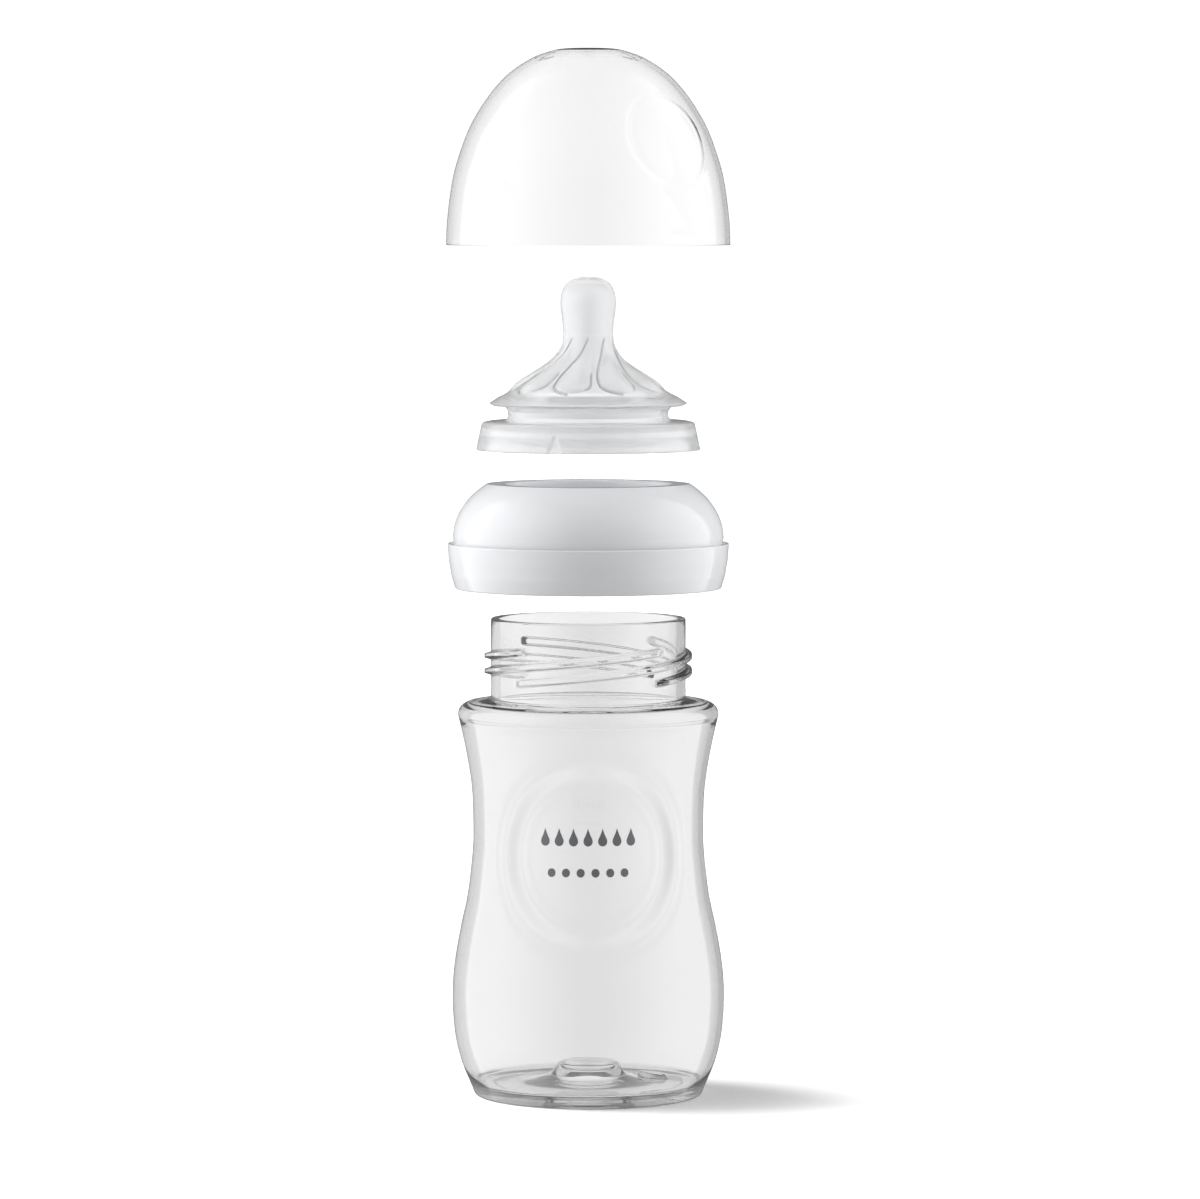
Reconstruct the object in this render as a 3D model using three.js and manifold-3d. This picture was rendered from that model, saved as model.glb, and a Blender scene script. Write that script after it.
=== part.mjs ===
// Baby bottle of the 260 ml size, drawn as an exploded stack on one axis:
// bottle, screw ring, teat and dome cap, each a separate solid.
// Millimetres, +Z up. The origin is the centre of the bottle's foot plane; the front faces -Y.
// Azimuths are degrees from the front towards +X.

import * as THREE from 'three';
import { mergeVertices } from 'three/addons/utils/BufferGeometryUtils.js';
import Module from 'manifold-3d';

const SIDES = 40;

// bottle, heights from the foot plane
const BODY_WALL = 1.2;
const SHOULDER_WALL = 1.8;
const NECK_WALL = 2;
const FOOT_R = 27.4;
const FOOT_INNER_R = 24;
const BELLY_R = 33.7;
const WAIST_R = 28.5;
const SHOULDER_R = 32.2;
const SHOULDER_ARC_R = 2.8;
const SHOULDER_ARC_Z = 94.9;
const NECK_R = 24.1;
const NECK_BASE_Z = 98.4;
const NECK_TOP_Z = 118.4;
const RIM_ARC_R = 0.5;
const RIM_INNER_EDGE = 0.3;
const FLOOR_Z = 2.7;
const DISH = { azimuth: 2, r: WAIST_R, z: 61.9, outer: 23.3, flat: 18, depth: 1.2, tilt: 0 };

// thread ridges on the neck
const THREAD_STARTS = 4;
const THREAD_LEAD = 15.2;
const THREAD_SWEEP = 174;
const THREAD_STEPS = 20;
const THREAD_LOW_AZIMUTH = -36;
const THREAD_LOW_Z = 103.6;
const THREAD_PROTRUSION = 1.6;
const THREAD_ROOT_DEPTH = 0.7;
const THREAD_ROOT_HALF = 1.25;
const THREAD_CREST_HALF = 0.6;
const THREAD_SINK = 0.1;

// screw ring, heights from its lower edge
const RING_Z = 125.7;
const RING_HEIGHT = 25.9;
const RING_FOOT_R = 33;
const RING_SKIN = 1.5;
const LIP_R = 34.8;
const LIP_WIDTH = 0.7;
const LIP_TOP = 11.2;
const LIP_GROOVE_Z = 10.2;
const DOME_R = 33.5;
const DOME_TOP_R = 24.6;
const HOLE_R = 20.3;
const HOLE_LIP = 2.9;
const HOLE_EDGE = 0.6;
const BORE_R = 26.1;
const BORE_WALL = 1.5;
const BORE_FOOT_Z = 1.2;
const BORE_TOP_Z = 14.2;
const GAP_ROOF_Z = 12.6;

// teat, heights from the lower edge of its skirt
const TEAT_Z = 159.9;
const SKIRT_R = 27.7;
const SKIRT_TOP_R = 26.3;
const SKIRT_INNER_R = 24.4;
const PLATE_TOP = 7.2;
const PLATE_BOTTOM = 5;
const PLATE_EDGE = 0.8;
const GROOVE_R = 20;
const GROOVE_TOP = 10.7;
const FLANGE_R = 24.5;
const TEAT_WALL = 1.9;
const BULB_R = 6.86;
const TEAT_HEIGHT = 42.6;
const FEED_HOLE_R = 0.4;
const TIP_WALL = 1.6;

// dome cap, heights from its rim
const CAP_Z = 210.4;
const CAP_R = 35;
const CAP_HEIGHT = 48.4;
const CAP_WALL = 1.15;
const DIMPLE = { azimuth: 42, r: 30.2, z: 26, outer: 12, flat: 9, depth: 0.9, tilt: 28 };

const CLEAR = { color: 0xe9ebec, roughness: 0.08, metalness: 0, transparent: true, opacity: 0.45 };
const SILICONE = { color: 0xdfe2e4, roughness: 0.35, metalness: 0 };
const WHITE = { color: 0xf3f4f6, roughness: 0.15, metalness: 0 };

// ---- outlines, walked with the material on the left

const at = (r, z) => new THREE.Vector2(r, z);

// points along a smooth curve through a few [radius, height] stations
function smooth(stations, count) {
  const curve = new THREE.SplineCurve(stations.map(([r, z]) => at(r, z)));
  return curve.getSpacedPoints(count);
}

// points on an arc about (r, z), with angles in degrees from the outward direction
function arc(r, z, radius, from, to, count) {
  const points = [];
  for (let i = 0; i <= count; i += 1) {
    const angle = THREE.MathUtils.degToRad(from + ((to - from) * i) / count);
    points.push(at(r + radius * Math.cos(angle), z + radius * Math.sin(angle)));
  }
  return points;
}

// the far side of a wall: the same run moved to its left by the wall and walked backwards
function farSide(points, wall) {
  const moved = points.map((point, i) => {
    const before = points[Math.max(i - 1, 0)];
    const after = points[Math.min(i + 1, points.length - 1)];
    const along = after.clone().sub(before).normalize();
    return at(point.x - along.y * wall, point.y + along.x * wall);
  });
  return moved.reverse();
}

function turned(outline) {
  const geometry = new THREE.LatheGeometry(outline, SIDES);
  geometry.rotateX(Math.PI / 2);
  return geometry;
}

// ---- solids

// a point at a radius, an azimuth and a height
function around(r, azimuth, z) {
  const angle = THREE.MathUtils.degToRad(azimuth);
  return new THREE.Vector3(r * Math.sin(angle), -r * Math.cos(angle), z);
}

// push both skins of a wall inwards, along a line tilted down, over a round patch with a bevelled edge
function press(geometry, patch) {
  const centre = around(patch.r, patch.azimuth, patch.z);
  const slope = THREE.MathUtils.degToRad(patch.tilt);
  const inwards = around(-Math.cos(slope), patch.azimuth, -Math.sin(slope));
  const position = geometry.attributes.position;
  const point = new THREE.Vector3();
  for (let i = 0; i < position.count; i += 1) {
    point.fromBufferAttribute(position, i);
    const share = 1 - THREE.MathUtils.smoothstep(point.distanceTo(centre), patch.flat, patch.outer);
    point.addScaledVector(inwards, patch.depth * share);
    position.setXYZ(i, point.x, point.y, point.z);
  }
  return geometry;
}

// one thread ridge: a trapezoid swept up a helix, whose crest sinks into the neck at both ends
function ridge(startAzimuth) {
  const vertices = [];
  const faces = [];
  for (let i = 0; i <= THREAD_STEPS; i += 1) {
    const turn = (THREAD_SWEEP * i) / THREAD_STEPS;
    const z = THREAD_LOW_Z + (THREAD_LEAD * turn) / 360;
    const fade = Math.min(1, i / 2, (THREAD_STEPS - i) / 2);
    const root = NECK_R - THREAD_ROOT_DEPTH;
    const crest = NECK_R + THREAD_PROTRUSION * fade - THREAD_SINK;
    const section = [
      [root, -THREAD_ROOT_HALF],
      [crest, -THREAD_CREST_HALF],
      [crest, THREAD_CREST_HALF],
      [root, THREAD_ROOT_HALF],
    ];
    for (const [r, rise] of section) {
      vertices.push(...around(r, startAzimuth + turn, z + rise).toArray());
    }
  }
  for (let i = 0; i < THREAD_STEPS; i += 1) {
    for (let k = 0; k < 4; k += 1) {
      const a = 4 * i + k;
      const b = 4 * i + ((k + 1) % 4);
      faces.push(a, a + 4, b, b, a + 4, b + 4);
    }
  }
  const last = 4 * THREAD_STEPS;
  faces.push(0, 1, 2, 0, 2, 3);
  faces.push(last, last + 2, last + 1, last, last + 3, last + 2);
  const geometry = new THREE.BufferGeometry();
  geometry.setAttribute('position', new THREE.Float32BufferAttribute(vertices, 3));
  geometry.setIndex(faces);
  return geometry;
}

// ---- joining

const wasm = await Module();
wasm.setup();

function toSolid(geometry) {
  const bare = geometry.clone();
  bare.deleteAttribute('normal');
  bare.deleteAttribute('uv');
  const merged = mergeVertices(bare);
  const vertProperties = new Float32Array(merged.attributes.position.array);
  const triVerts = new Uint32Array(merged.index.array);
  return new wasm.Manifold(new wasm.Mesh({ numProp: 3, vertProperties, triVerts }));
}

function toGeometry(solid) {
  const mesh = solid.getMesh();
  const geometry = new THREE.BufferGeometry();
  geometry.setAttribute('position', new THREE.BufferAttribute(mesh.vertProperties, 3));
  geometry.setIndex(new THREE.BufferAttribute(mesh.triVerts, 1));
  geometry.computeVertexNormals();
  return geometry;
}

// ---- pieces

function bottle() {
  const wall = smooth([
    [29.1, 2.5],
    [31.5, 8.4],
    [33.1, 15.3],
    [BELLY_R, 24.3],
    [33.24, 32.2],
    [31.76, 41.1],
    [29.9, 50],
    [28.74, 59.9],
    [WAIST_R, 66],
    [28.8, 75.7],
    [29.85, 83.2],
    [31.2, 90],
    [SHOULDER_R - 0.1, 93.8],
  ], 14);
  const shoulder = arc(SHOULDER_R - SHOULDER_ARC_R, SHOULDER_ARC_Z, SHOULDER_ARC_R, 15, 85, 3);
  const outline = [
    at(0, 4.7),
    at(5.4, 4.7),
    at(7.8, 2.2),
    at(18.5, 1),
    at(FOOT_INNER_R - 0.8, 0.8),
    at(FOOT_INNER_R, 0),
    at(FOOT_R, 0),
    at(28.3, 0.8),
    ...wall,
    ...shoulder,
    at(NECK_R + 0.9, NECK_BASE_Z),
    at(NECK_R, NECK_BASE_Z + 0.9),
    ...arc(NECK_R - RIM_ARC_R, NECK_TOP_Z - RIM_ARC_R, RIM_ARC_R, 0, 90, 2),
    at(NECK_R - NECK_WALL + RIM_INNER_EDGE, NECK_TOP_Z),
    at(NECK_R - NECK_WALL, NECK_TOP_Z - RIM_INNER_EDGE),
    at(NECK_R - NECK_WALL, NECK_BASE_Z - 0.6),
    at(NECK_R - 0.6, NECK_BASE_Z - SHOULDER_WALL),
    at(SHOULDER_R - SHOULDER_ARC_R, SHOULDER_ARC_Z + SHOULDER_ARC_R - SHOULDER_WALL),
    ...farSide(wall, BODY_WALL).slice(0, -1),
    at(28.6, 5),
    at(27.8, 3.9),
    at(26.4, 3.2),
    at(21.5, FLOOR_Z),
    at(14, 3.5),
    at(8.4, 4.7),
    at(6.4, 6.8),
    at(5.4, 7.1),
    at(0, 7.1),
  ];
  let solid = toSolid(press(turned(outline), DISH));
  for (let start = 0; start < THREAD_STARTS; start += 1) {
    const azimuth = THREAD_LOW_AZIMUTH + (start * 360) / THREAD_STARTS;
    solid = solid.add(toSolid(ridge(azimuth)));
  }
  return toGeometry(solid);
}

function screwRing() {
  const lipInnerR = LIP_R - LIP_WIDTH;
  const skinInnerR = RING_FOOT_R - RING_SKIN;
  const holeUnder = RING_HEIGHT - HOLE_LIP;
  const foot = [
    at(skinInnerR, 0.4),
    at(skinInnerR + 0.3, 0),
    at(RING_FOOT_R - 0.4, 0),
  ];
  const band = smooth([
    [RING_FOOT_R + 0.05, 0.5],
    [33.9, 3.5],
    [34.5, 7.2],
    [LIP_R, LIP_TOP - 0.3],
  ], 4);
  const lip = [
    at(LIP_R - 0.2, LIP_TOP),
    at(lipInnerR + 0.1, LIP_TOP),
    at(lipInnerR, LIP_GROOVE_Z),
    at(DOME_R, LIP_GROOVE_Z),
  ];
  const dome = smooth([
    [DOME_R, 12.6],
    [33.17, 15.4],
    [32.1, 18.4],
    [30.3, 21.3],
    [28.5, 23.3],
    [26.1, 25.4],
    [DOME_TOP_R, RING_HEIGHT],
  ], 6);
  const hole = [
    at(HOLE_R + HOLE_EDGE, RING_HEIGHT),
    at(HOLE_R, RING_HEIGHT - HOLE_EDGE),
    at(HOLE_R, holeUnder + HOLE_EDGE),
    at(HOLE_R + HOLE_EDGE, holeUnder),
  ];
  const cavity = [
    at(26.9, holeUnder),
    at(29.3, 19.5),
    at(30.6, BORE_TOP_Z + 1),
  ];
  const bore = [
    at(BORE_R, BORE_TOP_Z),
    at(BORE_R, BORE_FOOT_Z + 0.4),
    at(BORE_R + 0.4, BORE_FOOT_Z),
    at(BORE_R + BORE_WALL, BORE_FOOT_Z),
  ];
  const gap = [
    at(BORE_R + BORE_WALL + 0.3, GAP_ROOF_Z),
    at(skinInnerR + 0.3, GAP_ROOF_Z),
  ];
  return turned([...foot, ...band, ...lip, ...dome, ...hole, ...cavity, ...bore, ...gap, foot[0]]);
}

function teat() {
  const skirt = [
    at(SKIRT_R - 1.3, 0),
    at(SKIRT_R - 0.4, 0),
    at(SKIRT_R, 0.5),
    at(SKIRT_TOP_R, PLATE_TOP - PLATE_EDGE),
    at(SKIRT_TOP_R - PLATE_EDGE, PLATE_TOP),
  ];
  const groove = [
    at(GROOVE_R, PLATE_TOP),
    at(GROOVE_R, GROOVE_TOP),
    at(FLANGE_R - 0.3, GROOVE_TOP),
    at(FLANGE_R, GROOVE_TOP + 0.5),
  ];
  const cone = smooth([
    [24.2, 11.9],
    [20.15, 14.4],
    [16.8, 16.3],
    [13.8, 18.3],
    [11.1, 20.3],
    [8.94, 22.3],
    [7.4, 24.3],
    [6.5, 26.3],
    [6.1, 28.7],
    [6.4, 32.2],
    [BULB_R, 36.1],
    [6.4, 39.1],
    [5.2, 41.1],
    [3, TEAT_HEIGHT - 0.3],
  ], 13);
  const mouth = [
    at(FEED_HOLE_R, TEAT_HEIGHT),
    at(FEED_HOLE_R, TEAT_HEIGHT - TIP_WALL),
  ];
  const throat = [
    at(GROOVE_R - TEAT_WALL, GROOVE_TOP + 1),
    at(GROOVE_R - TEAT_WALL, PLATE_BOTTOM + 0.6),
    at(GROOVE_R - TEAT_WALL + 0.6, PLATE_BOTTOM),
    at(SKIRT_INNER_R, PLATE_BOTTOM),
    at(SKIRT_INNER_R + 0.2, PLATE_BOTTOM - 1.5),
  ];
  const inner = farSide(cone, TIP_WALL).filter((point) => point.x < GROOVE_R - TEAT_WALL);
  return turned([...skirt, ...groove, ...cone, ...mouth, ...inner, ...throat, skirt[0]]);
}

function domeCap() {
  const dome = smooth([
    [CAP_R, 0.4],
    [34.8, 5.4],
    [34.13, 11.5],
    [33.1, 17.5],
    [31.3, 23.5],
    [28.9, 29.5],
    [25.3, 35.5],
    [21.7, 40],
    [18.4, 43],
    [13.6, 46],
    [9.2, 47.6],
    [5.9, 48.2],
    [0, CAP_HEIGHT],
  ], 14);
  const inner = farSide(dome, CAP_WALL);
  inner[0].x = 0;
  const outline = [
    at(0, CAP_HEIGHT - CAP_WALL),
    ...inner.slice(1, -1),
    at(CAP_R - CAP_WALL, 0.4),
    at(CAP_R - CAP_WALL + 0.2, 0),
    at(CAP_R - 0.2, 0),
    ...dome,
  ];
  return press(turned(outline), DIMPLE);
}

// ---- assembly

function piece(name, geometry, look, z) {
  const mesh = new THREE.Mesh(geometry, new THREE.MeshStandardMaterial(look));
  mesh.name = name;
  mesh.position.z = z;
  return mesh;
}

const group = new THREE.Group();
group.add(piece('bottle', bottle(), CLEAR, 0));
group.add(piece('screw_ring', screwRing(), WHITE, RING_Z));
group.add(piece('teat', teat(), SILICONE, TEAT_Z));
group.add(piece('dome_cap', domeCap(), CLEAR, CAP_Z));

export default group;
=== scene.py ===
"""Baby bottle: the looks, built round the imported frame.

Fine meshes for the bottle, the screw ring, the teat and the dome cap replace the CAD nodes.
Shapes are worked out in millimetres, round the frame's Z axis, and written in metres.
Azimuths are in degrees from the front (-Y) towards +X.
"""

import math

import bmesh
import bpy
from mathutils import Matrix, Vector


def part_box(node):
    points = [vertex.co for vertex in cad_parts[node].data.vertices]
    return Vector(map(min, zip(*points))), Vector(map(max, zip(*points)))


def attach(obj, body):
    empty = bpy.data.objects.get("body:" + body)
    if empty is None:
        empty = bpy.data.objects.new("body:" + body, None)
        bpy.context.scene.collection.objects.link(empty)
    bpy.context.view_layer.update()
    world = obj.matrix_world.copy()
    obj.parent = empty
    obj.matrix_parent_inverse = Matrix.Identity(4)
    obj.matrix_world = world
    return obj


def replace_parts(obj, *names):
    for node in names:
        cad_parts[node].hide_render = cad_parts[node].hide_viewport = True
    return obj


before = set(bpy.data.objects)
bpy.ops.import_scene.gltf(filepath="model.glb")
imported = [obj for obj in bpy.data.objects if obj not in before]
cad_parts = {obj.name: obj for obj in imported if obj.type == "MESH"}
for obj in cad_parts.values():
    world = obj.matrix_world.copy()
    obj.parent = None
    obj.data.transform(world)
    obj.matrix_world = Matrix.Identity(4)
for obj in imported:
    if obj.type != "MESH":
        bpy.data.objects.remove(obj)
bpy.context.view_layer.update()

MM = 0.001

# where each piece stands on the axis, from the frame
RING_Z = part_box("screw_ring")[0].z / MM
TEAT_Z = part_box("teat")[0].z / MM
CAP_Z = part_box("dome_cap")[0].z / MM

# how many columns each turned mesh has
BOTTLE_COLUMNS = 256
RING_COLUMNS = 256
TEAT_COLUMNS = 540
CAP_COLUMNS = 450

# bottle, with the straight stretch of its neck from NECK_LOW to NECK_HIGH
BODY_WALL = 1.2
NECK_WALL = 2.0
WAIST_R = 28.5
NECK_R = 24.1
NECK_LOW = 99.7
NECK_HIGH = 116.4
NECK_TOP = 118.4

# round grip dish on the front, and how its inner skin follows it more softly
DISH = {"azimuth": 2, "r": WAIST_R, "z": 61.9, "flat": 18.8, "outer": 23.3, "depth": 1.45, "tilt": 0}
DISH_INSIDE = {**DISH, "flat": 16, "outer": 27}

# small moulded button on the bottle's floor. Its edge and its lower middle are in shares of its radius
BUTTON_AT = (16.0, 3.0)
BUTTON_R = 3.8
BUTTON_HEIGHT = 1.6
BUTTON_EDGE = (0.8, 1.05)
BUTTON_MIDDLE = (0.45, 0.7)
BUTTON_MIDDLE_SHARE = 0.5

# printed mark on the grip dish: rows of blobs at a height v from the dish's centre, each with a tip
MARK_PITCH = 3.75
DROPS = {"count": 7, "v": 3.7, "r": 1.2, "tip": 3.2}
DOTS = {"count": 6, "v": -4, "r": 1.05, "tip": 1.05}
INK_LOW = 0.02
INK_HIGH = 0.07
INK_EDGE = 0.01

# thread: the ridges on the neck start THREAD_AZIMUTH round and THREAD_Z up, and fade out at both ends
STARTS = 4
LEAD = 15.2
SWEEP = 170
THREAD_AZIMUTH = -39
THREAD_Z = 103.6
THREAD_HEIGHT = 1.6
THREAD_CREST = 0.5
THREAD_ROOT = 1.05
THREAD_FADE = 9

# screw ring, and the lugs in its bore, which lie between the ridges when its foot is at RING_SEAT
RING_BORE_R = 26.1
RING_HOLE_R = 20.3
RING_SEAT = 98.2
LUG_HEIGHT = 1.5
LUG_FIRST = 25
LUG_DROP = LEAD / STARTS / 2

# teat
TEAT_WALL = 1.6
TEAT_BORE_R = 18.1
GROOVE_R = 19.8
FEED_HOLE_R = 0.4

# petals of the teat: stations (azimuth, height, half width) from the tail down to the head
PETALS = 9
PETAL = [
    (1, 27.2, 0.3),
    (-2, 25, 0.95),
    (-6.5, 22.6, 1.8),
    (-11, 20.4, 2.9),
    (-13.5, 18.5, 3.9),
    (-14, 16.8, 4.6),
]
PETAL_PUFF = 0.22
PETAL_SINK = 0.2

# the petals' relief pushes this share of itself out and up, and fades over these heights
PETAL_OUT = 0.6
PETAL_UP = 0.8
PETAL_UP_FADE = (20, 27)
PETALS_FOOT = (12.8, 14.2)
PETALS_TOP = (26, 28.6)

# a crease on a petal's outline, and the heights over which it starts and ends on each side
CREASE_DEPTH = 0.6
CREASE_WIDTH = 0.22
CREASE_LEFT_FOOT = (13.6, 15)
CREASE_RIGHT_FOOT = (15, 16)
CREASE_RIGHT_TOP = (18.8, 19.8)

# vent notch in the teat's skirt
NOTCH = {"azimuth": -17.5, "height": 4.2, "half_top": 0.4, "half_foot": 1.7, "depth": 0.45}
NOTCH_FLARE = 1.3
NOTCH_EDGE_IN = 0.25
NOTCH_EDGE_OUT = 0.15

# dome cap, with a round dimple and four short ribs inside its top
CAP_R = 35
CAP_WALL = 1.15
DIMPLE = {"azimuth": 42, "r": 30.2, "z": 26, "flat": 9.6, "outer": 12, "depth": 0.18, "tilt": 28}
DIMPLE_RIM = 0.13
DIMPLE_RIM_WIDTH = 0.5
RIB_AZIMUTHS = (-72, -58, 58, 72)
RIB_HEIGHT = 0.4
RIB_START = (9.8, 10.4)
RIB_END = (12.4, 13)
RIB_SIDE = (1, 2.5)


# ---------------------------------------------------------------- curves and outlines


def smoothstep(low, high, value):
    """0 up to `low`, 1 from `high` on, and a smooth rise between them."""
    t = min(max((value - low) / (high - low), 0.0), 1.0)
    return t * t * (3 - 2 * t)


def spline(stations, step):
    """Points about `step` apart on a smooth curve through the stations, which may have any size."""
    points = [Vector(s) for s in stations]
    ends = [2 * points[0] - points[1], *points, 2 * points[-1] - points[-2]]
    run = []
    for i in range(1, len(ends) - 2):
        before, start, end, after = ends[i - 1 : i + 3]
        bend = 2 * before - 5 * start + 4 * end - after
        twist = 3 * start - before - 3 * end + after
        count = max(2, round((end - start).length / step))
        for k in range(count):
            t = k / count
            run.append(0.5 * (2 * start + (end - before) * t + bend * t**2 + twist * t**3))
    run.append(points[-1])
    return [tuple(p) for p in run]


def straight(start, end, step):
    """Points about `step` apart on a straight run, both ends included."""
    a, b = Vector(start), Vector(end)
    count = max(1, round((b - a).length / step))
    return [tuple(a.lerp(b, k / count)) for k in range(count + 1)]


def rounded(corners, steps=6):
    """An outline through (r, z, radius) corners, each turned into an arc of about that radius."""
    run = []
    for i, (r, z, radius) in enumerate(corners):
        here = Vector((r, z))
        if radius <= 0 or i in (0, len(corners) - 1):
            run.append((r, z))
            continue
        back = Vector(corners[i - 1][:2]) - here
        on = Vector(corners[i + 1][:2]) - here
        half = back.angle(on) / 2
        reach = min(radius / math.tan(half), 0.49 * back.length, 0.49 * on.length)
        start, end = here + back.normalized() * reach, here + on.normalized() * reach
        for k in range(steps + 1):
            t = k / steps
            run.append(tuple(start.lerp(here, t).lerp(here.lerp(end, t), t)))
    return run


def far_side(points, wall):
    """The same run moved to its left by the wall, walked backwards."""
    moved = []
    for i, point in enumerate(points):
        before = Vector(points[max(i - 1, 0)])
        after = Vector(points[min(i + 1, len(points) - 1)])
        along = (after - before).normalized()
        moved.append((point[0] - along.y * wall, point[1] + along.x * wall))
    return moved[::-1]


def radius_at(outline, z):
    """The radius of an outline that runs one way along z."""
    for (r0, z0), (r1, z1) in zip(outline, outline[1:]):
        if min(z0, z1) <= z <= max(z0, z1) and z0 != z1:
            return r0 + (r1 - r0) * (z - z0) / (z1 - z0)
    return outline[0][0] if abs(z - outline[0][1]) < abs(z - outline[-1][1]) else outline[-1][0]


def place(r, azimuth, z):
    """A point at a radius, an azimuth and a height."""
    angle = math.radians(azimuth)
    return Vector((r * math.sin(angle), -r * math.cos(angle), z))


def signed(azimuth):
    """The same azimuth between -180 and 180."""
    return (azimuth + 180) % 360 - 180


def from_centre(patch, r, azimuth, z):
    """How far a point is from a patch's centre."""
    return (place(r, azimuth, z) - place(patch["r"], patch["azimuth"], patch["z"])).length


def pressed(patch, r, azimuth, z):
    """(r, z) pushed inwards where the point lies on a round patch with a bevelled edge."""
    away = from_centre(patch, r, azimuth, z)
    push = patch["depth"] * (1 - smoothstep(patch["flat"], patch["outer"], away))
    tilt = math.radians(patch["tilt"])
    return r - push * math.cos(tilt), z - push * math.sin(tilt)


# ---------------------------------------------------------------- meshes


def finished(name, bm, body, material):
    """An object from the bmesh, smooth, riding on its body, with the given name and material."""
    mesh = bpy.data.meshes.new(name)
    bm.to_mesh(mesh)
    bm.free()
    mesh.polygons.foreach_set("use_smooth", [True] * len(mesh.polygons))
    mesh.materials.append(material)
    piece = bpy.data.objects.new(name, mesh)
    bpy.context.scene.collection.objects.link(piece)
    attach(piece, body)
    return piece


def turned(outline, columns, warp=None, closed=True, base=0.0):
    """A bmesh turned round the axis from an outline with the material on its left.

    The outline is a list of (r, z) in millimetres above `base`, ending on the axis or closing on itself.
    `warp` takes a row's index and a point (r, azimuth, z), and returns the new (r, z).
    """
    bm = bmesh.new()
    rings = []
    for row, (r, z) in enumerate(outline):
        if r < 1e-6:
            rings.append([bm.verts.new((0, 0, (base + z) * MM))])
            continue
        ring = []
        for k in range(columns):
            azimuth = 360 * k / columns
            nr, nz = warp(row, r, azimuth, z) if warp else (r, z)
            ring.append(bm.verts.new(place(nr, azimuth, base + nz) * MM))
        rings.append(ring)
    pairs = list(zip(rings, rings[1:]))
    if closed:
        pairs.append((rings[-1], rings[0]))
    for low, high in pairs:
        for k in range(columns):
            n = (k + 1) % columns
            if len(low) == 1:
                bm.faces.new((low[0], high[n], high[k]))
            elif len(high) == 1:
                bm.faces.new((low[k], low[n], high[0]))
            else:
                bm.faces.new((low[k], low[n], high[n], high[k]))
    return bm


# ---------------------------------------------------------------- shapes on the surfaces


def ridge_height(azimuth, z, offset=0.0, first=0.0):
    """Share of full height, 0 to 1, of the thread ridges at a place on the neck.

    `offset` moves them up, and `first` is the sweep in degrees at which they start.
    """
    best = 0.0
    for start in range(STARTS):
        turn = (azimuth - THREAD_AZIMUTH - 360 * start / STARTS) % 360
        for sweep in (turn, turn - 360):
            if not first - THREAD_FADE <= sweep <= SWEEP + THREAD_FADE:
                continue
            centre = THREAD_Z + offset + LEAD * sweep / 360
            across = abs(z - centre)
            past = max(first - sweep, sweep - SWEEP, 0) / THREAD_FADE
            end = (1 - min(past, 1) ** 2) ** 2
            flank = 1 - smoothstep(THREAD_CREST, THREAD_ROOT, across)
            best = max(best, flank * end)
    return best


def button_height(azimuth, r):
    """Height of the moulded button on the bottle's floor, a low disc with a raised rim."""
    x, y, _ = place(r, azimuth, 0)
    across = math.hypot(x - BUTTON_AT[0], y - BUTTON_AT[1]) / BUTTON_R
    rim = (1 - BUTTON_MIDDLE_SHARE) * smoothstep(*BUTTON_MIDDLE, across)
    return BUTTON_HEIGHT * (1 - smoothstep(*BUTTON_EDGE, across)) * (BUTTON_MIDDLE_SHARE + rim)


def petal_relief(cone):
    """A function of a place on the teat's cone: how far it stands out, and its share of a crease."""
    chain = [
        (place(radius_at(cone, z), azimuth, z), azimuth, width)
        for azimuth, z, width in spline(PETAL, step=0.3)
    ]
    links = [(a, b, (b[0] - a[0]).length_squared) for a, b in zip(chain, chain[1:])]
    pitch = 360 / PETALS
    known = {}  # the petals repeat, so each place is worked out once

    def relief(azimuth, r, z):
        turn = (azimuth + 3 * pitch / 4) % pitch - 3 * pitch / 4
        key = (round(turn, 3), round(r, 4), round(z, 4))
        if key not in known:
            known[key] = one_petal(turn, r, z)
        return known[key]

    def one_petal(turn, r, z):
        rise, margin, nearest = 0.0, math.inf, 0.0
        for copy in (turn - pitch, turn, turn + pitch):
            point = place(r, copy, z)
            for (start, turn_in, width_in), (end, turn_out, width_out), square in links:
                along = min(max((point - start).dot(end - start) / square, 0), 1)
                width = width_in + along * (width_out - width_in)
                away = (point - start - along * (end - start)).length
                rise = max(rise, PETAL_PUFF * width * (1 - (away / width) ** 2))
                if away - width < margin:
                    margin = away - width
                    nearest = copy - turn_in - along * (turn_out - turn_in)
        left = smoothstep(*CREASE_LEFT_FOOT, z)
        right = smoothstep(*CREASE_RIGHT_FOOT, z) * (1 - smoothstep(*CREASE_RIGHT_TOP, z))
        line = left if nearest < 0 else right
        share = line * math.exp(-((margin / CREASE_WIDTH) ** 2))
        return rise - CREASE_DEPTH * share, share

    return relief


def notch_depth(azimuth, r, z):
    """Depth of the bell-shaped vent notch in the teat's skirt."""
    across = abs(math.radians(signed(azimuth - NOTCH["azimuth"])) * r)
    up = min(z / NOTCH["height"], 1)
    half = NOTCH["half_top"] + (NOTCH["half_foot"] - NOTCH["half_top"]) * (1 - up) ** NOTCH_FLARE
    share = 1 - smoothstep(half - NOTCH_EDGE_IN, half + NOTCH_EDGE_OUT, across)
    top_edge = NOTCH["height"] - NOTCH_EDGE_IN - NOTCH_EDGE_OUT
    return NOTCH["depth"] * share * (1 - smoothstep(top_edge, NOTCH["height"], z))


def dimple_rim(r, azimuth, z):
    """Height of the fine raised rim round the cap's dimple."""
    beyond = from_centre(DIMPLE, r, azimuth, z) - DIMPLE["outer"]
    return DIMPLE_RIM * math.exp(-((beyond / DIMPLE_RIM_WIDTH) ** 2))


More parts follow.
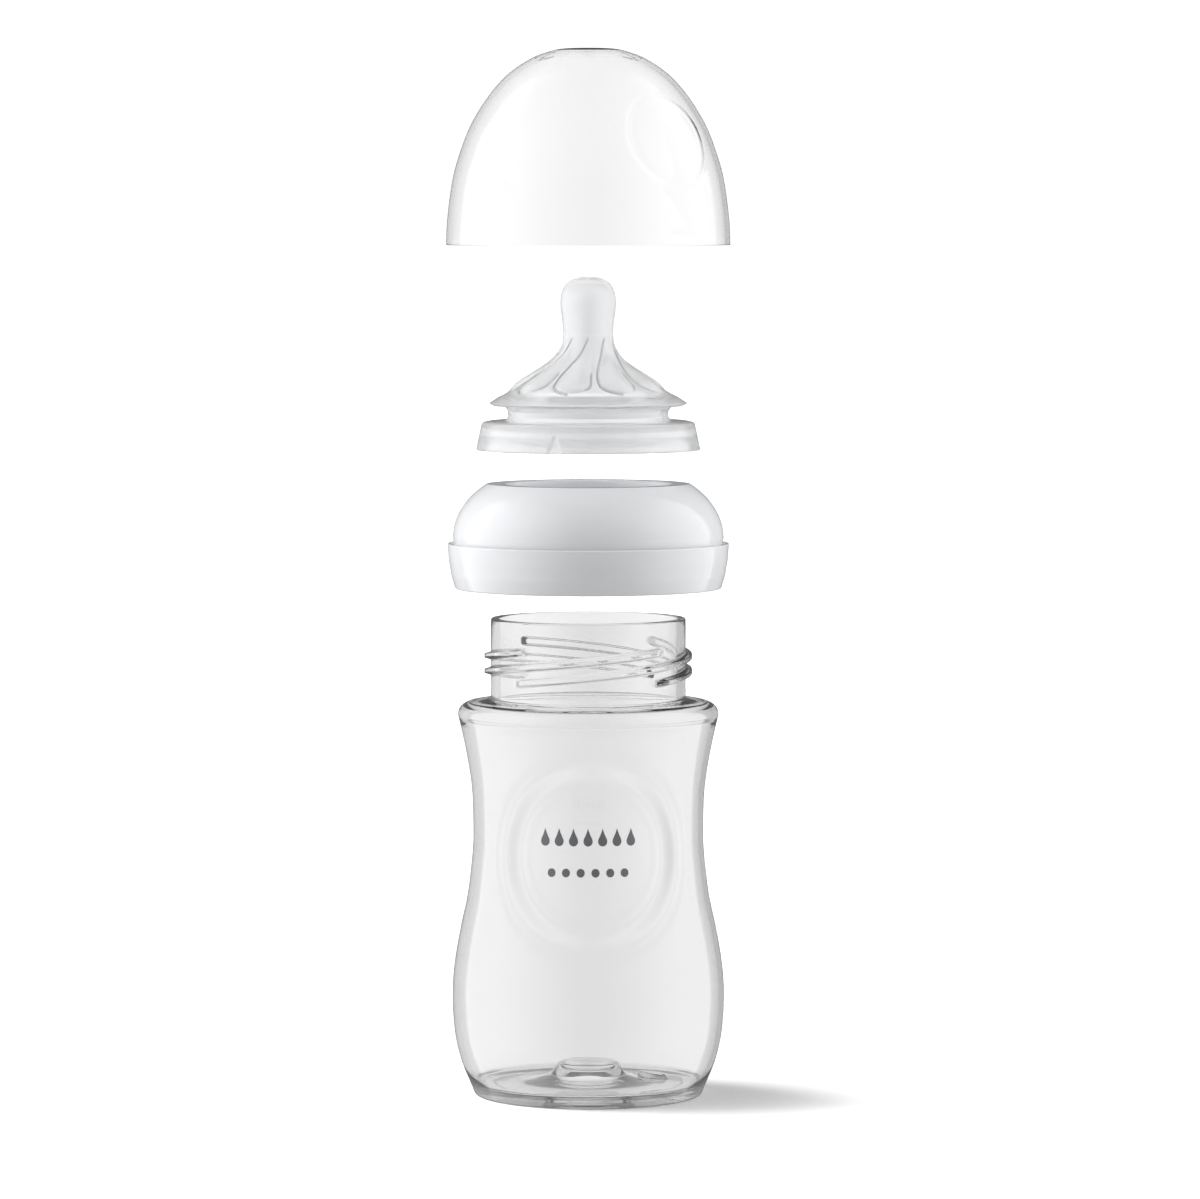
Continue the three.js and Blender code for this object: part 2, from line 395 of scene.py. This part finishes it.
def rib_height(azimuth, r):
    """Height of the short moulded ribs on the inside of the cap's top."""
    along = smoothstep(*RIB_START, r) * (1 - smoothstep(*RIB_END, r))
    across = min(abs(signed(azimuth - centre)) for centre in RIB_AZIMUTHS)
    return RIB_HEIGHT * along * (1 - smoothstep(*RIB_SIDE, across))


# ---------------------------------------------------------------- materials


def new_material(name):
    """A material with no nodes yet, its nodes and its links."""
    material = bpy.data.materials.new(name)
    material.use_nodes = True
    material.node_tree.nodes.clear()
    return material, material.node_tree.nodes, material.node_tree.links


def noise(nodes, links, scale, detail=2.0):
    """A noise factor fixed to the piece."""
    where = nodes.new("ShaderNodeTexCoord")
    texture = nodes.new("ShaderNodeTexNoise")
    texture.inputs["Scale"].default_value = scale
    texture.inputs["Detail"].default_value = detail
    links.new(where.outputs["Object"], texture.inputs["Vector"])
    return texture.outputs["Fac"]


def spread(nodes, links, factor, low, high):
    """The factor's middle stretched to run from low to high."""
    scale = nodes.new("ShaderNodeMapRange")
    scale.inputs["From Min"].default_value = 0.3
    scale.inputs["From Max"].default_value = 0.7
    scale.inputs["To Min"].default_value = low
    scale.inputs["To Max"].default_value = high
    links.new(factor, scale.inputs["Value"])
    return scale.outputs["Result"]


def bump(nodes, links, factor, distance):
    """A normal that the factor bumps by up to a distance in metres."""
    node = nodes.new("ShaderNodeBump")
    node.inputs["Distance"].default_value = distance
    links.new(factor, node.inputs["Height"])
    return node.outputs["Normal"]


def by_height(nodes, links, low, high, below, above):
    """A value that goes from one to another between two heights of the piece, in metres."""
    where = nodes.new("ShaderNodeTexCoord")
    split = nodes.new("ShaderNodeSeparateXYZ")
    links.new(where.outputs["Object"], split.inputs["Vector"])
    scale = nodes.new("ShaderNodeMapRange")
    scale.interpolation_type = "SMOOTHSTEP"
    scale.inputs["From Min"].default_value = low
    scale.inputs["From Max"].default_value = high
    scale.inputs["To Min"].default_value = below
    scale.inputs["To Max"].default_value = above
    links.new(split.outputs["Z"], scale.inputs["Value"])
    return scale.outputs["Result"]


def finish_clear(nodes, links, surface, shade, dimming):
    """Ends a see-through material: lamps shine through it, and thick plastic dims light per metre."""
    path = nodes.new("ShaderNodeLightPath")
    clear = nodes.new("ShaderNodeBsdfTransparent")
    if isinstance(shade, float):
        clear.inputs["Color"].default_value = (shade, shade, shade, 1)
    else:
        links.new(shade, clear.inputs["Color"])
    mix = nodes.new("ShaderNodeMixShader")
    links.new(path.outputs["Is Shadow Ray"], mix.inputs["Fac"])
    links.new(surface, mix.inputs[1])
    links.new(clear.outputs["BSDF"], mix.inputs[2])
    inside = nodes.new("ShaderNodeVolumeAbsorption")
    inside.inputs["Color"].default_value = (0, 0, 0, 1)
    inside.inputs["Density"].default_value = dimming
    output = nodes.new("ShaderNodeOutputMaterial")
    links.new(mix.outputs["Shader"], output.inputs["Surface"])
    links.new(inside.outputs["Volume"], output.inputs["Volume"])


def clear_plastic(name, tint, ior, shade, dimming, milky=False):
    """Clear plastic. A milky one is hazy at its foot, where it's thick, and shades the floor there."""
    material, nodes, links = new_material(name)
    shader = nodes.new("ShaderNodeBsdfPrincipled")
    shader.inputs["Base Color"].default_value = (tint, tint, tint, 1)
    shader.inputs["IOR"].default_value = ior
    shader.inputs["Transmission Weight"].default_value = 1
    wipes = noise(nodes, links, scale=40)
    links.new(spread(nodes, links, wipes, low=0.005, high=0.02), shader.inputs["Roughness"])
    waves = noise(nodes, links, scale=25, detail=1)
    links.new(bump(nodes, links, waves, distance=0.00003), shader.inputs["Normal"])
    if milky:
        through = by_height(nodes, links, low=0.0015, high=0.004, below=0.7, above=1)
        links.new(through, shader.inputs["Transmission Weight"])
        # darker towards the bottom: the colour goes from the tint at 4 mm up down to 0.76 at 1 mm and
        # below
        colour = by_height(nodes, links, low=0.001, high=0.004, below=0.76, above=tint)
        links.new(colour, shader.inputs["Base Color"])
        shade = by_height(nodes, links, low=0.004, high=0.035, below=0.15, above=shade)
    finish_clear(nodes, links, shader.outputs["BSDF"], shade, dimming)
    return material


def white_plastic():
    """Smooth, glossy white plastic."""
    material, nodes, links = new_material("white_polypropylene")
    shader = nodes.new("ShaderNodeBsdfPrincipled")
    shader.inputs["Base Color"].default_value = (0.775, 0.78, 0.8, 1)
    shader.inputs["IOR"].default_value = 1.49
    shader.inputs["Subsurface Weight"].default_value = 0.15
    shader.inputs["Subsurface Radius"].default_value = (1, 1, 1)
    shader.inputs["Subsurface Scale"].default_value = 0.002
    wipes = noise(nodes, links, scale=60)
    links.new(spread(nodes, links, wipes, low=0.07, high=0.12), shader.inputs["Roughness"])
    grain = noise(nodes, links, scale=900, detail=3)
    links.new(bump(nodes, links, grain, distance=0.000006), shader.inputs["Normal"])
    output = nodes.new("ShaderNodeOutputMaterial")
    links.new(shader.outputs["BSDF"], output.inputs["Surface"])
    return material


def silicone():
    """Cloudy silicone, with painted shade that darkens it in the creases that the mesh marks."""
    material, nodes, links = new_material("silicone")
    shader = nodes.new("ShaderNodeBsdfPrincipled")
    # painted shade: the colour runs from the silicone's own white to a dark grey where the mesh marks a
    # crease
    painted_crease_shade = nodes.new("ShaderNodeAttribute")
    painted_crease_shade.attribute_name = "painted_crease_shade"
    colour = nodes.new("ShaderNodeMix")
    colour.data_type = "RGBA"
    colour.inputs["A"].default_value = (0.96, 0.965, 0.97, 1)
    colour.inputs["B"].default_value = (0.42, 0.425, 0.435, 1)
    links.new(painted_crease_shade.outputs["Fac"], colour.inputs["Factor"])
    links.new(colour.outputs["Result"], shader.inputs["Base Color"])
    shader.inputs["IOR"].default_value = 1.41
    shader.inputs["Transmission Weight"].default_value = 0.7
    wipes = noise(nodes, links, scale=80)
    links.new(spread(nodes, links, wipes, low=0.07, high=0.11), shader.inputs["Roughness"])
    grain = noise(nodes, links, scale=1200, detail=3)
    links.new(bump(nodes, links, grain, distance=0.000005), shader.inputs["Normal"])
    finish_clear(nodes, links, shader.outputs["BSDF"], shade=0.8, dimming=11)
    return material


def ink():
    """Dark grey printed ink."""
    material, nodes, links = new_material("printed_ink")
    shader = nodes.new("ShaderNodeBsdfPrincipled")
    colour = nodes.new("ShaderNodeMix")
    colour.data_type = "RGBA"
    colour.inputs["A"].default_value = (0.14, 0.145, 0.155, 1)
    colour.inputs["B"].default_value = (0.17, 0.175, 0.185, 1)
    links.new(noise(nodes, links, scale=1500, detail=3), colour.inputs["Factor"])
    links.new(colour.outputs["Result"], shader.inputs["Base Color"])
    shader.inputs["Roughness"].default_value = 0.45
    output = nodes.new("ShaderNodeOutputMaterial")
    links.new(shader.outputs["BSDF"], output.inputs["Surface"])
    return material


# ---------------------------------------------------------------- pieces


# the outside of the bottle's body, from the foot to the shoulder
BODY = spline(
    [
        (29.1, 2.5),
        (31.5, 8.4),
        (33.1, 15.3),
        (33.7, 24.3),
        (33.24, 32.2),
        (31.76, 41.1),
        (29.9, 50),
        (28.74, 59.9),
        (WAIST_R, 66),
        (28.8, 75.7),
        (29.85, 83.2),
        (31.2, 90),
        (31.95, 93.2),
    ],
    step=0.9,
)


def make_bottle(material):
    """The bottle: up the outside from the foot, over the mouth, and down the inside to the floor."""
    foot = rounded(
        [
            (0, 5.9, 0),
            (5.4, 5.9, 1),
            (7.6, 2.3, 1.2),
            (18.5, 1, 4),
            (23.4, 0.8, 0.6),
            (24, 0, 0.3),
            (28.1, 0, 1.1),
            (*BODY[0], 0),
        ]
    )
    shoulder = spline(
        [BODY[-1], (32.25, 94.7), (31.9, 96), (31.1, 96.9), (29.8, 97.6), (28, 97.9)], step=0.4
    )
    neck_foot = rounded([(28, 97.9, 0), (NECK_R, 98.5, 0.9), (NECK_R, NECK_LOW, 0)])
    neck = straight((NECK_R, NECK_LOW), (NECK_R, NECK_HIGH), step=0.19)
    skin_in = far_side(BODY[::2], BODY_WALL)
    mouth = rounded(
        [
            (NECK_R, NECK_HIGH, 0),
            (NECK_R, NECK_TOP, 0.55),
            (NECK_R - NECK_WALL, NECK_TOP, 0.5),
            (NECK_R - NECK_WALL, 98.1, 1.1),
            (24, 97.2, 0.7),
            (30.1, 96.5, 1.2),
            (*skin_in[0], 0),
        ]
    )
    inside = [point for point in skin_in if point[1] > 6]  # below it the floor is thick
    floor = rounded([(*inside[-1], 0), (27.9, 3.4, 1.1), (25.5, 3.05, 0)])
    rise = spline([(25.5, 3.05), (21.5, 2.7), (17.5, 2.9), (13.5, 3.7), (10.8, 4.5)], step=0.45)
    centre = rounded([(10.8, 4.5, 0), (9.3, 5, 0.5), (7.3, 8, 0.7), (0, 8, 0)])
    outer = [*foot, *BODY[1:], *shoulder[1:], *neck_foot[1:], *neck[1:]]
    inner = [*mouth[1:], *inside[1:], *floor[1:]]
    outline = [*outer, *inner, *rise[1:], *centre[1:]]
    thread_rows = range(len(outer) - len(neck), len(outer))
    floor_row = len(outer) + len(inner)

    def warp(row, r, azimuth, z):
        if row in thread_rows:
            return r + THREAD_HEIGHT * ridge_height(azimuth, z), z
        if row >= floor_row:
            return r, z + button_height(azimuth, r)
        return pressed(DISH if row < len(outer) else DISH_INSIDE, r, azimuth, z)

    bm = turned(outline, BOTTLE_COLUMNS, warp, closed=False)
    shell = finished("bottle_shell", bm, "bottle", material)
    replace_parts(shell, "bottle")
    return shell


def strip(bm, start, end, low, high, step):
    """A thin closed layer on the grip dish between two curves over u, the way round in millimetres."""
    count = max(2, round((end - start) / step))
    columns = []
    for k in range(count + 1):
        u = start + (end - start) * k / count
        azimuth = math.degrees(u / WAIST_R)
        column = []
        foot, head = low(u), high(u)
        for v, lift in ((foot, INK_LOW), (head, INK_LOW), (head, INK_HIGH), (foot, INK_HIGH)):
            z = DISH["z"] + v
            r, _ = pressed(DISH, radius_at(BODY, z), azimuth, z)
            column.append(bm.verts.new(place(r + lift, azimuth, z) * MM))
        columns.append(column)
    for here, there in zip(columns, columns[1:]):
        for k in range(4):
            n = (k + 1) % 4
            bm.faces.new((here[k], here[n], there[n], there[k]))
    bm.faces.new(columns[0][::-1])
    bm.faces.new(columns[-1])


def make_mark(material):
    """The printed mark: a row of drops over a row of dots. It stands in for any maker's print."""
    bm = bmesh.new()

    def blob(middle, v, radius, tip):
        """A disc, or a drop where its tip is higher than its radius."""

        def half(u):
            return radius * math.sqrt(max(1 - ((u - middle) / radius) ** 2, 0)) + INK_EDGE

        def point(u):
            return (tip - radius) * (1 - min(abs(u - middle) / radius, 1)) ** 2

        def foot(u):
            return v - half(u)

        def head(u):
            return v + half(u) + point(u)

        strip(bm, middle - radius, middle + radius, foot, head, step=0.1)

    for line in (DROPS, DOTS):
        for k in range(line["count"]):
            blob((k - (line["count"] - 1) / 2) * MARK_PITCH, line["v"], line["r"], line["tip"])
    bmesh.ops.recalc_face_normals(bm, faces=bm.faces)
    mark = finished("printed_mark", bm, "bottle", material)
    mark.data.polygons.foreach_set("use_smooth", [False] * len(mark.data.polygons))


def make_ring(material):
    """The screw ring: a band under a dome with a hole, and an inner sleeve with the lugs in it."""
    band = rounded(
        [
            (31.5, 0.6, 0),
            (31.5, 0, 0.5),
            (32.9, 0, 0.6),
            (33.9, 3.5, 8),
            (34.5, 7.2, 12),
            (34.8, 11.2, 0.3),
            (34.1, 11.2, 0.25),
            (34, 10.1, 0.2),
            (33.1, 10.1, 0.2),
            (33.1, 10.9, 0.3),
            (33.5, 12.6, 0),
        ]
    )
    dome = spline(
        [
            (33.5, 12.6),
            (33.17, 15.4),
            (32.1, 18.4),
            (30.3, 21.3),
            (28.5, 23.3),
            (26.6, 24.9),
            (25.6, 25.6),
        ],
        step=0.6,
    )
    hole = rounded(
        [
            (25.6, 25.6, 0),
            (25.1, 25.9, 0.3),
            (RING_HOLE_R, 25.9, 0.9),
            (RING_HOLE_R, 23, 0.7),
            (26.9, 23, 1),
            (29.3, 19.5, 4),
            (30.6, 15.2, 0.8),
            (RING_BORE_R, 14.2, 0.5),
            (RING_BORE_R, 13.4, 0),
        ]
    )
    bore = straight((RING_BORE_R, 13.4), (RING_BORE_R, 2), step=0.25)
    skirt = rounded(
        [
            (RING_BORE_R, 2, 0),
            (RING_BORE_R, 1.2, 0.4),
            (27.6, 1.2, 0.5),
            (27.9, 12.6, 0.8),
            (31.8, 12.6, 0.8),
            (31.5, 0.6, 0),
        ]
    )
    before = [*band, *dome[1:], *hole[1:]]
    outline = [*before, *bore[1:], *skirt[1:-1]]
    bore_rows = range(len(before), len(before) + len(bore) - 1)

    def warp(row, r, azimuth, z):
        if row in bore_rows:
            return r - LUG_HEIGHT * ridge_height(azimuth, z + RING_SEAT, -LUG_DROP, LUG_FIRST), z
        return r, z

    bm = turned(outline, RING_COLUMNS, warp, base=RING_Z)
    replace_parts(finished("collar", bm, "ring", material), "screw_ring")


def make_teat(material):
    """The teat: skirt, groove, cone with petals and bulb, hollow from below up to the feed hole."""
    skirt = [
        (26.3, 0.6),
        *rounded([(26.4, 0.3, 0), (26.6, 0, 0.2), (27.7, 0, 0.4), (27.55, 0.8, 0)]),
        *straight((27.5, 1), (26.6, 5.3), step=0.35),
        *rounded([(26.5, 5.6, 0), (26.3, 6.8, 0.9), (24.6, 7.2, 0)]),
    ]
    groove = rounded(
        [
            (24.6, 7.2, 0),
            (20.6, 7.2, 0.5),
            (GROOVE_R, 8.2, 0.5),
            (GROOVE_R, 9.6, 0.5),
            (20.5, 10.6, 0.6),
            (23.2, 10.9, 0.4),
            (24.6, 11.5, 0.25),
            (22, 13.2, 0),
        ]
    )
    cone = spline(
        [
            (22, 13.2),
            (20.15, 14.35),
            (16.8, 16.3),
            (13.8, 18.3),
            (11.1, 20.3),
            (8.94, 22.3),
            (7.4, 24.3),
            (6.5, 26.3),
            (6.1, 28.7),
        ],
        step=0.27,
    )
    bulb = spline(
        [(6.1, 28.7), (6.4, 32.2), (6.86, 36.1), (6.4, 39.1), (5.2, 41.1), (3, 42.35), (1.2, 42.6)],
        step=0.6,
    )
    tip = rounded(
        [(1.2, 42.6, 0), (FEED_HOLE_R, 42.6, 0.15), (FEED_HOLE_R, 41, 0.15), (1.1, 41, 0)]
    )
    skin_in = far_side([*cone[::3], *bulb[1:]], TEAT_WALL)
    inner = [point for point in skin_in if tip[-1][0] < point[0] < TEAT_BORE_R]
    throat = rounded(
        [
            (*inner[-1], 0),
            (TEAT_BORE_R, 12.4, 1.5),
            (TEAT_BORE_R, 10, 0.2),
            (TEAT_BORE_R - 0.4, 9.7, 0.2),
            (TEAT_BORE_R - 0.4, 8.9, 0.2),
            (TEAT_BORE_R, 8.6, 0.2),
            (TEAT_BORE_R, 5, 0.8),
            (24.4, 5, 0.4),
            (24.6, 3.5, 1),
            (26.3, 0.6, 0),
        ]
    )
    outline = [*skirt, *groove[1:], *cone[1:], *bulb[1:], *tip[1:], *inner, *throat[1:-1]]
    cone_row = len(skirt) + len(groove) - 1
    cone_rows = range(cone_row, cone_row + len(cone) - 1)
    relief = petal_relief(cone)
    painted_crease_shades = []  # one share of a crease for each vertex, in the order in which `turned` makes them; the silicone paints shade from them

    def warp(row, r, azimuth, z):
        painted_crease_shades.append(0.0)
        if row < len(skirt):
            return r - notch_depth(azimuth, r, z) * smoothstep(26.3, 26.6, r), z
        if row in cone_rows:
            fade = smoothstep(*PETALS_FOOT, z) * (1 - smoothstep(*PETALS_TOP, z))
            rise, painted_crease_shades[-1] = relief(azimuth, r, z)
            out = fade * (rise - PETAL_SINK)
            up = PETAL_UP * out * (1 - smoothstep(*PETAL_UP_FADE, z))
            return r + PETAL_OUT * out, z + up
        return r, z

    bm = turned(outline, TEAT_COLUMNS, warp, base=TEAT_Z)
    # the shares go on the mesh as the mask for the silicone's painted shade in the creases
    layer = bm.verts.layers.float.new("painted_crease_shade")
    for vert, share in zip(bm.verts, painted_crease_shades):
        vert[layer] = share
    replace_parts(finished("soft_teat", bm, "teat", material), "teat")


def make_cap(material):
    """The dome cap, with the dimple in both of its skins and the ribs under its top."""
    dome = spline(
        [
            (CAP_R, 0.5),
            (34.8, 5.4),
            (34.13, 11.5),
            (33.1, 17.5),
            (31.3, 23.5),
            (28.9, 29.5),
            (25.3, 35.5),
            (21.7, 40),
            (18.4, 43),
            (13.6, 46),
            (9.2, 47.6),
            (5.9, 48.2),
            (0, 48.4),
        ],
        step=0.5,
    )
    skin_in = far_side(dome, CAP_WALL)
    inner = [(0.0, skin_in[0][1]), *[point for point in skin_in[1:] if point[0] > 0.2]]
    rim_in = CAP_R - CAP_WALL
    rim = rounded([(rim_in, 0.5, 0), (rim_in, 0, 0.4), (CAP_R, 0, 0.4), (CAP_R, 0.5, 0)])
    outline = [*inner[:-1], *rim, *dome[1:]]

    def warp(row, r, azimuth, z):
        pushed_r, pushed_z = pressed(DIMPLE, r, azimuth, z)
        if row < len(inner):
            return pushed_r, pushed_z - rib_height(azimuth, r)
        return pushed_r + dimple_rim(r, azimuth, z), pushed_z

    bm = turned(outline, CAP_COLUMNS, warp, closed=False, base=CAP_Z)
    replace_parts(finished("clear_dome", bm, "cap", material), "dome_cap")


# ---------------------------------------------------------------- stage, light and camera


# brightness of the studio by azimuth in degrees: what gloss mirrors and what lights the pieces
ROOM = [
    (-180, 0.15),
    (-150, 0.5),
    (-130, 0.75),
    (-125, 2.3),
    (-65, 2.1),
    (-35, 1.0),
    (-12, 0.12),
    (0, 0.03),
    (12, 0.08),
    (35, 0.6),
    (65, 1.7),
    (125, 1.9),
    (130, 0.4),
    (155, 0.35),
    (180, 0.15),
]

# and what is seen through clear walls: a white sheet behind, with greyer sides
BACKDROP = [
    (-180, 0.98),
    (-177, 1.08),
    (-171, 1.03),
    (-160, 0.87),
    (-130, 0.85),
    (-90, 0.86),
    (-60, 0.85),
    (60, 0.85),
    (90, 0.84),
    (130, 0.66),
    (160, 0.66),
    (171, 1.0),
    (177, 1.07),
    (180, 0.98),
]
BRIGHTEST = 2.3

# brightness above, and below for clear walls and for gloss, between these heights on a unit sphere
ABOVE = 0.3
ABOVE_FROM = 0.6
ABOVE_FULL = 1.0
BELOW = 1.1
BELOW_SHINE = 0.7
BELOW_FROM = -0.35
BELOW_FULL = -0.7

# the white behind everything, as the camera sees it
WHITE = 1.1

# lamps, in metres from the origin for where each shines from and degrees for its spread
KEY = {"energy": 1.5, "at": (-0.9, 0.04, 0.15), "spread_angle": 50}
FILL = {"energy": 1.45, "at": (0.9, 0.01, 0.12), "spread_angle": 50}
FLOOR_LAMP = {"energy": 9, "at": (-0.91, 0.27, 0.28), "spread_angle": 60}

# the floor's half side in metres, and how white it is to bounced light and to the camera
FLOOR_HALF = 6
FLOOR_BOUNCE = 0.3
FLOOR_SEEN = 0.97

# camera, in metres, with its lens in millimetres
CAMERA_AT = (0.0029, -1.5, 0.22)
CAMERA_AIM = (0.0029, 0, 0.1229)
CAMERA_LENS = 182.4
CAMERA_SENSOR = 36


def mixed(nodes, links, factor, low, high):
    """A grey between two, each a number or a colour socket."""
    mix = nodes.new("ShaderNodeMix")
    mix.data_type = "RGBA"
    links.new(factor, mix.inputs["Factor"])
    for name, value in (("A", low), ("B", high)):
        if isinstance(value, (int, float)):
            mix.inputs[name].default_value = (value, value, value, 1)
        else:
            links.new(value, mix.inputs[name])
    return mix.outputs["Result"]


def round_ramp(nodes, links, azimuth, stops):
    """Brightness by azimuth, from (degrees, brightness) stops."""
    ramp = nodes.new("ShaderNodeValToRGB")
    elements = ramp.color_ramp.elements
    while len(elements) < len(stops):
        elements.new(0.5)
    for element, (degrees, level) in zip(elements, stops):
        element.position = (degrees + 180) / 360
        element.color = (*[level / BRIGHTEST] * 3, 1)
    links.new(azimuth, ramp.inputs["Fac"])
    return ramp.outputs["Color"]


def make_world():
    """A white studio: bright left and right, dim in front and above, white behind clear walls."""
    world = bpy.data.worlds.new("studio")
    world.use_nodes = True
    bpy.context.scene.world = world
    nodes, links = world.node_tree.nodes, world.node_tree.links
    nodes.clear()
    where = nodes.new("ShaderNodeTexCoord")
    split = nodes.new("ShaderNodeSeparateXYZ")
    links.new(where.outputs["Generated"], split.inputs["Vector"])
    front = nodes.new("ShaderNodeMath")
    front.operation = "MULTIPLY"
    front.inputs[1].default_value = -1
    links.new(split.outputs["Y"], front.inputs[0])
    azimuth = nodes.new("ShaderNodeMath")
    azimuth.operation = "ARCTAN2"
    links.new(split.outputs["X"], azimuth.inputs[0])
    links.new(front.outputs["Value"], azimuth.inputs[1])
    turn = nodes.new("ShaderNodeMapRange")
    turn.inputs["From Min"].default_value = -math.pi
    turn.inputs["From Max"].default_value = math.pi
    links.new(azimuth.outputs["Value"], turn.inputs["Value"])
    up = nodes.new("ShaderNodeMapRange")
    up.interpolation_type = "SMOOTHSTEP"
    up.inputs["From Min"].default_value = ABOVE_FROM
    up.inputs["From Max"].default_value = ABOVE_FULL
    links.new(split.outputs["Z"], up.inputs["Value"])
    path = nodes.new("ShaderNodeLightPath")
    room = round_ramp(nodes, links, turn.outputs["Result"], ROOM)
    room = mixed(nodes, links, up.outputs["Result"], room, ABOVE / BRIGHTEST)
    backdrop = round_ramp(nodes, links, turn.outputs["Result"], BACKDROP)
    down = nodes.new("ShaderNodeMapRange")
    down.inputs["From Min"].default_value = BELOW_FROM
    down.inputs["From Max"].default_value = BELOW_FULL
    links.new(split.outputs["Z"], down.inputs["Value"])
    room = mixed(nodes, links, down.outputs["Result"], room, BELOW_SHINE / BRIGHTEST)
    backdrop = mixed(nodes, links, down.outputs["Result"], backdrop, BELOW / BRIGHTEST)
    level = mixed(nodes, links, path.outputs["Is Transmission Ray"], room, backdrop)
    level = mixed(nodes, links, path.outputs["Is Camera Ray"], level, WHITE / BRIGHTEST)
    shine = nodes.new("ShaderNodeBackground")
    shine.inputs["Strength"].default_value = BRIGHTEST
    links.new(level, shine.inputs["Color"])
    output = nodes.new("ShaderNodeOutputWorld")
    links.new(shine.outputs["Background"], output.inputs["Surface"])


def make_floor():
    """White paper that throws little light back up at the pieces."""
    bm = bmesh.new()
    bmesh.ops.create_grid(bm, x_segments=2, y_segments=2, size=FLOOR_HALF)
    mesh = bpy.data.meshes.new("floor")
    bm.to_mesh(mesh)
    bm.free()
    material, nodes, links = new_material("floor_paper")
    shader = nodes.new("ShaderNodeBsdfDiffuse")
    path = nodes.new("ShaderNodeLightPath")
    colour = mixed(nodes, links, path.outputs["Is Camera Ray"], FLOOR_BOUNCE, FLOOR_SEEN)
    links.new(colour, shader.inputs["Color"])
    output = nodes.new("ShaderNodeOutputMaterial")
    links.new(shader.outputs["BSDF"], output.inputs["Surface"])
    mesh.materials.append(material)
    floor = bpy.data.objects.new("floor", mesh)
    bpy.context.scene.collection.objects.link(floor)
    floor.visible_glossy = False
    floor.visible_transmission = False
    return floor


def aim(thing, at, target):
    """Puts a camera or a lamp at a place and turns it towards another."""
    thing.location = at
    thing.rotation_euler = (Vector(target) - Vector(at)).to_track_quat("-Z", "Y").to_euler()


def make_lamp(name, energy, at, spread_angle):
    """A broad, even lamp that's seen neither in gloss nor through clear walls."""
    light = bpy.data.lights.new(name, "SUN")
    light.energy = energy
    light.angle = math.radians(spread_angle)
    lamp = bpy.data.objects.new(name, light)
    bpy.context.scene.collection.objects.link(lamp)
    lamp.visible_glossy = False
    lamp.visible_transmission = False
    aim(lamp, at, (0, 0, 0))
    return lamp


def light_floor(floor, bottle, lamps):
    """The floor has a lamp of its own, and only the bottle casts a shadow in it."""
    lit = bpy.data.collections.new("floor_only")
    lit.objects.link(floor)
    casts = bpy.data.collections.new("bottle_only")
    casts.objects.link(bottle)
    own = make_lamp("floor_lamp", **FLOOR_LAMP)
    own.light_linking.receiver_collection = lit
    own.light_linking.blocker_collection = casts
    others = bpy.data.collections.new("all_but_floor")
    others.objects.link(floor)
    others.collection_objects[0].light_linking.link_state = "EXCLUDE"
    for lamp in lamps:
        lamp.light_linking.receiver_collection = others


def make_camera():
    data = bpy.data.cameras.new("camera")
    data.sensor_width = CAMERA_SENSOR
    data.lens = CAMERA_LENS
    camera = bpy.data.objects.new("camera", data)
    bpy.context.scene.collection.objects.link(camera)
    aim(camera, CAMERA_AT, CAMERA_AIM)
    bpy.context.scene.camera = camera


make_camera()
make_world()
key = make_lamp("key", **KEY)
fill = make_lamp("fill", **FILL)
bottle_plastic = clear_plastic(
    "clear_polypropylene", tint=0.89, ior=1.49, shade=0.97, dimming=1.5, milky=True
)
cap_plastic = clear_plastic(
    "thin_clear_polypropylene", tint=0.973, ior=1.32, shade=0.95, dimming=4
)
bottle = make_bottle(bottle_plastic)
light_floor(make_floor(), bottle, (key, fill))
make_mark(ink())
make_ring(white_plastic())
make_teat(silicone())
make_cap(cap_plastic)

bpy.context.scene.view_settings.view_transform = "Standard"
